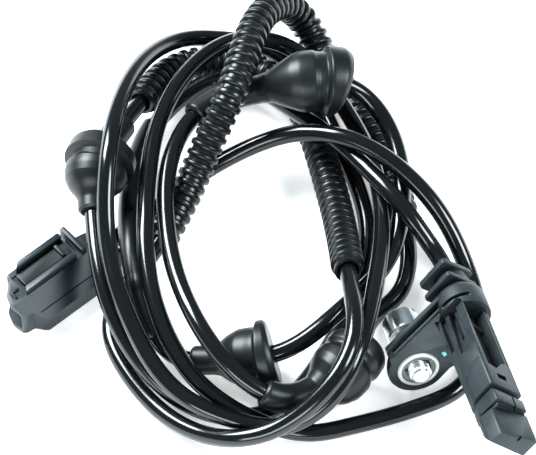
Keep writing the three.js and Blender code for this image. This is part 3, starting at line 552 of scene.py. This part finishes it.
housing = combined(placed(turned([
    (0, -25.6), (4.0, -25.6), (4.4, -25.2), (4.5, -18), (5.4, -16.8), (6.2, -16.2), (6.8, -15.2), (6.95, -14.4),
    (6.95, -8.6), (6.7, -8.1), (0, -8.1),
], 64), SECTION), [
    ("add", prism(rectangle(FIN_SIDE, FIN_SIDE), -25.2, -23.4, 0.9, 0.3, fin_turn)),
    ("add", prism(rectangle(FIN_SIDE, FIN_SIDE), -20.0, -18.4, 0.9, 0.3, fin_turn)),
    ("add", lug),
    ("add", prism([(-3.3, 5.0), (7.9, 5.0), (7.9, -2.4), (4.7, -6.3), (-3.3, -6.3)], -8.3, 24.6, 0.9, 0.35, BAR)),
    ("cut", prism([(-8.05, 6.3), (15, 7.95), (15, 14), (-8.05, 14)], -5.0, 9, 0, 0, ALONG_TOP)),
    ("add", prism([(-3.1, 3.7), (6.8, 3.7), (6.8, -3.0), (5.0, -5.4), (-3.1, -5.4)], 23, 31.2, 0.6, 0.3, BAR)),
    ("add", prism([(-3.5, 3.9), (7.7, 1.9), (8.3, -2.6), (6.6, -4.6), (-3.5, -4.6)], 31.0, 40.4, 0.7, 0.3, BAR)),
    ("add", prism([(-3.2, 4.6), (7.5, 4.5), (7.5, -2.6), (5.2, -5.8), (-3.2, -5.8)], 26.3, 30.0, 0.6, 0.25, BAR)),
    ("cut", placed(turned([(0, -14), (5.85, -14), (5.85, 1), (0, 1)], 72), LUG)),
    ("cut", prism(rectangle(7.4, 21.9, 2.5, 3.15), 0.4, 12, 0.9, 0, RIGHT)),
    ("cut", prism([(-1.2, 12.5), (6.2, 12.5), (6.2, 16.6), (3.4, 17.4)], 2.6, 12, 0.4, 0, RIGHT)),
    ("cut", prism(rectangle(3.3, 1.9, 2.6, 20.4), 2.6, 12, 0.3, 0, RIGHT)),
    ("cut", prism([(-8.0, 4.0), (-8.0, 9), (8.5, 9), (8.5, 7.1)], -0.7, 2.3, 0.15, 0, ALONG_TOP)),
    ("cut", prism(rectangle(1.8, 13.2, 2.95, -1.3), 5.2, 12, 0.3, 0, TOP)),
    ("cut", prism(rectangle(8.6, 1.2, 0, -10.7), 5.2, 9, 0.2, 0)),
    ("cut", prism(rectangle(14, 0.55, 2, 31.0), 3.2, 12, 0, 0, RIGHT)),
    ("cut", prism(rectangle(0.6, 5.4, 1.0, 28.6), 3.4, 12, 0, 0, RIGHT)),
    ("cut", placed(turned([(0, -26.6), (2.9, -26.6), (2.9, -20.4), (0, -20.4)], 48), SECTION)),
    ("cut", prism([(37.6, 4.2), (41, 3.0), (41, 8), (37.6, 8)], -9, 12, 0, 0, ALONG_RIGHT)),
    ("cut", prism([(34.6, -5.0), (41, -1.6), (41, -9), (34.6, -9)], -9, 12, 0, 0, ALONG_RIGHT)),
    ("cut", prism(rectangle(0.7, 1.4, 1.9, 40.5), 1.6, 12, 0, 0, RIGHT)),
    ("cut", prism(rectangle(0.35, 21, -1.9, 3.4), 4.5, 12, 0, 0, RIGHT)),
])
shown("sensor_housing_moulded", placed(housing, HEAD), nylon, "sensor_housing", 28)

# ---- chip carrier ----
# The darker nylon plate that carries the sensing chip. It lies at the bottom of the window, with a slanted fin and
# a thin rib, and is held by the housing moulded round it.
carrier_nylon = surface(
    "carrier_nylon", (0.003, 0.005, 0.006), (0.007, 0.010, 0.012), 0.5, grain=0.0004, relief=0.03, shine=0.35,
)
carrier = combined(prism(rectangle(6.8, 20, 2.5, 3.2), 0.7, 1.6, 0.6, 0.15, RIGHT), [
    ("add", prism([(-0.8, -1.6), (5.6, -4.6), (5.6, -3.7), (-0.8, -0.7)], 1.1, 2.7, 0.1, 0.1, RIGHT)),
    ("add", prism(rectangle(0.5, 9.0, 1.2, 6.6), 1.1, 2.0, 0, 0.1, RIGHT)),
])
shown("chip_carrier_moulded", placed(carrier, HEAD), carrier_nylon, "chip_carrier")

# ---- lug bushing ----
# The pale ring of sintered metal, pressed nearly flush into the lug. It takes the screw's clamping force, so that
# the nylon doesn't creep.
BUSHING_BORE, BUSHING_R = 4.6, 5.7
bushing_metal = surface(
    "bushing_metal", (0.55, 0.535, 0.51), (0.68, 0.665, 0.64), 0.5,
    metal=0.2, grain=0.0003, relief=0.01, patch=0.003,
)
bushing = turned([
    (BUSHING_BORE, -6.4), (5.3, -6.4), (5.6, -6.1), (BUSHING_R, 0.1), (5.4, 0.5), (4.8, 0.5), (BUSHING_BORE, 0.3),
], 96, 0.1)
shown("lug_bushing_ring", placed(bushing, HEAD @ LUG), bushing_metal, "lug_bushing")

# ---- screw retainer ----
# The grey plastic ring pushed into the bushing, which holds the screw captive. Three small notches in its face let
# it spread over the thread.
RETAINER_BORE, RETAINER_R = 3.25, 4.5
retainer_grey = surface("retainer_grey", (0.10, 0.13, 0.135), (0.16, 0.20, 0.205), 0.5, grain=0.0003, relief=0.02)
retainer = combined(turned([
    (RETAINER_BORE, -4), (RETAINER_R, -4), (RETAINER_R, -0.1), (4.35, 0.1), (3.5, 0.1), (RETAINER_BORE, -0.2),
], 72), [
    ("cut", prism(rectangle(0.8, 1.2, 3.5, 0), -0.9, 1, 0, 0, Matrix.Rotation(math.radians(angle), 4, "Z")))
    for angle in (35, 158, 275)
])
shown("screw_retainer_ring", placed(retainer, HEAD @ LUG), retainer_grey, "screw_retainer")

# ---- mounting screw ----
# The zinc-plated steel M6 screw, pushed back in its retainer. Its head, with six broad flats and a socket, stands
# behind the lug, and its threaded tip shows inside the retainer.
SHANK_R, THREAD_ROOT = 2.95, 2.55
zinc = surface(
    "zinc", (0.70, 0.77, 0.79), (0.93, 0.97, 0.97), 0.3,
    metal=1.0, grain=0.0003, relief=0.012, patch=0.003,
)
thread = []
for ring in range(5):
    low = -2.4 + ring
    thread += [(THREAD_ROOT, low), (SHANK_R, low + 0.38), (SHANK_R, low + 0.56)]
screw = combined(turned([
    (0, -16.2), (2.5, -16.2), (2.5, -19.6), (4.3, -19.6), (4.75, -19.3), (5.0, -18.8), (5.0, -12.8),
    (4.9, -12.5), (4.7, -12.3), (3.2, -12.3), (SHANK_R, -11.9), (SHANK_R, -2.7), *thread, (2.45, 2.3),
    (2.1, 2.8), (0, 2.8),
], 72), [
    ("cut", prism(rectangle(6, 2, 0, 5.72), -19.0, -12.9, 0, 0.15, Matrix.Rotation(math.radians(angle), 4, "Z")))
    for angle in range(12, 372, 60)
])
shown("mounting_screw_zinc", placed(screw, HEAD @ LUG), zinc, "mounting_screw", 24)

# ---- paint dab ----
# A dab of teal paint, dotted on the lug's front face beside the bushing when the part passed its test. It has no
# CAD node of its own.
paint = surface("teal_paint", (0.08, 0.48, 0.46), (0.20, 0.68, 0.65), 0.4, grain=0.0003, relief=0.03)
dab = prism(rectangle(1.9, 1.6, 9.3, 0.5), -0.25, -0.08, 0.4, 0.04, SECTION)
shown("paint_dab", placed(dab, HEAD), paint, None)

# ---- connector housing ----
# The plug's shell, moulded in black nylon. It lies on the floor at the left, its mating face to the front left: x
# runs to the cable, z up. It has a step along its near side, two rails on top, and a rib behind the latch pocket.
PLUG_TURN = math.radians(42.2)
CABLE_HEIGHT = 6
PLUG_AT = Vector((-119.21, 23.185, 0)) * MM
PLUG = Matrix.Translation(PLUG_AT) @ Matrix.Rotation(PLUG_TURN, 4, "Z") @ Matrix.Scale(MM, 4)
AXIS = Matrix.Translation((0, 0, CABLE_HEIGHT)) @ ACROSS
# The shell's colour is darkened in its corners and recesses, as painted shade.
shell_black = surface(
    "connector_shell", (0.004, 0.0080, 0.0110), (0.012, 0.021, 0.027), 0.38,
    grain=0.0004, relief=0.03, patch=0.006, recess=0.003, shine=0.35,
)
shell = combined(prism([
    (0.5, -3.6), (1.6, -4.4), (3.9, -4.6), (6.2, -7.9), (30.6, -8), (30.6, 4.6), (25.6, 5.6), (24, 6.4),
    (4.6, 6.4), (1.2, 3.4), (0, 0),
], 0, 10.6, 0.4, 0.35), [
    ("add", prism(rectangle(19, 8.6, 14.5, 4.3), 1, 9.9, 1.0, 0.3)),
    ("add", prism([(7.5, 6.9), (23.6, 6.9), (23.6, 8.6), (9.5, 8.6)], 6, 12.4, 0.5, 0.3)),
    ("add", prism([(5.0, -0.6), (22.8, -0.6), (22.8, 1.3), (6.2, 1.3)], 6, 12.2, 0.5, 0.3)),
    ("add", prism(rectangle(1.6, 9.6, 25.4, 4.3), 1, 12.6, 0.4, 0.3)),
    ("add", prism(rectangle(2.6, 0.7, 3.4, 2.6), 10, 11.1, 0.2, 0.15)),
    ("add", prism(rectangle(0.7, 2.4, 2.4, 1.7), 10, 11.1, 0.2, 0.15)),
    ("cut", prism(rectangle(19.0, 5.4, 14.9, 4.1), 9.6, 16, 0.6, 0)),
    ("cut", prism([(-9, 5.2), (-9, 13), (-1.2, 13), (-0.6, 10.7)], -1, 32, 0, 0, ACROSS)),
    ("cut", prism([(-9, 1.2), (-9, -1), (-5.4, -1), (-7.0, 0.4)], -1, 32, 0, 0, ACROSS)),
    ("cut", prism(rectangle(24, 0.25, 17.4, -5.6), 6.4, 14, 0, 0)),
    ("cut", prism(rectangle(8.6, 6.8, 0.9, 5.1), -1, 14, 1.0, 0, ACROSS)),
    ("cut", placed(turned([(0, 18), (4, 18), (4, 31.6), (0, 31.6)], 48), AXIS)),
    ("cut", prism(rectangle(2.8, 1.4, -1.7, 6), 13, 19, 0.2, 0, ACROSS)),
    ("cut", prism(rectangle(2.8, 1.4, 1.7, 6), 13, 19, 0.2, 0, ACROSS)),
])
connector_housing = shown(
    "connector_housing_moulded", placed(shell, PLUG), shell_black, "connector_housing", 28,
)

# ---- connector latch ----
# The springy nylon lever in the pocket on top of the shell. Its raised catch locks the plug to the socket that it
# mates with.
LATCH_WIDTH = 4.2
latch_black = surface(
    "latch_black", (0.003, 0.0048, 0.006), (0.008, 0.011, 0.013), 0.45, grain=0.0004, relief=0.02, shine=0.35,
)
lever = combined(prism(rectangle(16.4, LATCH_WIDTH, 15.0, 4.1), 9.9, 10.9, 0.5, 0.2), [
    ("add", prism(rectangle(1.2, LATCH_WIDTH, 20.5, 4.1), 9.9, 12.0, 0.4, 0.2)),
])
connector_latch = shown("connector_latch_lever", placed(lever, PLUG), latch_black, "connector_latch")

# ---- connector rear cap ----
# The flat nylon cap that closes the shell behind the wire seal, snapped onto its end. The cable comes out through
# its bore.
CAP_BORE = 2.9
cap = combined(prism(rectangle(11.4, 10, -0.4, 5.6), 30.9, 33.6, 1.6, 0.4, ACROSS), [
    ("cut", placed(turned([(0, 29), (CAP_BORE, 29), (CAP_BORE, 35), (0, 35)], 48), AXIS)),
])
connector_cap = shown(
    "connector_rear_cap_moulded", placed(cap, PLUG), shell_black, "connector_rear_cap",
)

# ---- inside the connector ----
# The rubber wire seal, the two tinned pins and the two insulated cores that are crimped to them. They keep their
# CAD bodies, with surfaces of their own.
finishes = {
    "wire_seal": surface("seal_rubber", (0.14, 0.045, 0.028), (0.22, 0.08, 0.05), 0.6),
    "terminal_1": surface("tinned_pin", (0.55, 0.52, 0.42), (0.75, 0.72, 0.6), 0.3, metal=1.0, relief=0.01),
    "core_1": surface("blue_core", (0.02, 0.06, 0.22), (0.04, 0.10, 0.32), 0.4),
    "core_2": surface("brown_core", (0.09, 0.04, 0.015), (0.15, 0.07, 0.03), 0.4),
}
finishes["terminal_2"] = finishes["terminal_1"]
for node, finish in finishes.items():
    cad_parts[node].data.materials.clear()
    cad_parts[node].data.materials.append(finish)

# ---- floor ----
# A seamless sheet of white paper. It glows a little, so that it shows as white, and keeps the soft shadows under the
# strands.
sheet = bmesh.new()
bmesh.ops.create_grid(sheet, x_segments=1, y_segments=1, size=6)
floor_data = bpy.data.meshes.new("floor")
sheet.to_mesh(floor_data)
sheet.free()
floor = bpy.data.objects.new("floor", floor_data)
bpy.context.scene.collection.objects.link(floor)
paper = bpy.data.materials.new("white_paper")
paper.use_nodes = True
paper.node_tree.nodes["Principled BSDF"].inputs["Base Color"].default_value = (0.96, 0.96, 0.96, 1)
paper.node_tree.nodes["Principled BSDF"].inputs["Roughness"].default_value = 0.9
paper.node_tree.nodes["Principled BSDF"].inputs["Specular IOR Level"].default_value = 0.0
paper.node_tree.nodes["Principled BSDF"].inputs["Emission Color"].default_value = (1, 1, 1, 1)
paper.node_tree.nodes["Principled BSDF"].inputs["Emission Strength"].default_value = 0.5
floor_data.materials.append(paper)

# ---- lights ----
# A pale blue-white room with three soft boxes: a large one high at the back left, one at the right, and a long low
# one in front. The camera itself sees plain white.
world = bpy.data.worlds.new("white_room")
bpy.context.scene.world = world
world.use_nodes = True
room = world.node_tree
room.nodes["Background"].inputs["Color"].default_value = (0.80, 0.92, 1.0, 1)
room.nodes["Background"].inputs["Strength"].default_value = 0.3
seen = room.nodes.new("ShaderNodeBackground")
seen.inputs["Color"].default_value = (1, 1, 1, 1)
seen.inputs["Strength"].default_value = 1.0
choice = room.nodes.new("ShaderNodeMixShader")
rays = room.nodes.new("ShaderNodeLightPath")
room.links.new(rays.outputs["Is Camera Ray"], choice.inputs["Fac"])
room.links.new(room.nodes["Background"].outputs["Background"], choice.inputs[1])
room.links.new(seen.outputs["Background"], choice.inputs[2])
room.links.new(choice.outputs["Shader"], room.nodes["World Output"].inputs["Surface"])
for name, at, size, power in [
    ("key_box", (-0.62, 0.5, 0.72), (0.5, 0.5), 30),
    ("side_box", (0.62, -0.12, 0.62), (0.35, 0.35), 9),
    ("front_box", (-0.3, -0.8, 0.35), (0.8, 0.25), 7),
]:
    lamp = bpy.data.lights.new(name, "AREA")
    lamp.shape = "RECTANGLE"
    lamp.size, lamp.size_y = size
    lamp.energy = power
    lamp.color = (0.88, 0.97, 1.0)
    held = bpy.data.objects.new(name, lamp)
    bpy.context.scene.collection.objects.link(held)
    held.location = at
    held.rotation_euler = (AIM - Vector(at)).to_track_quat("-Z", "Y").to_euler()
bpy.context.scene.view_settings.view_transform = "Standard"
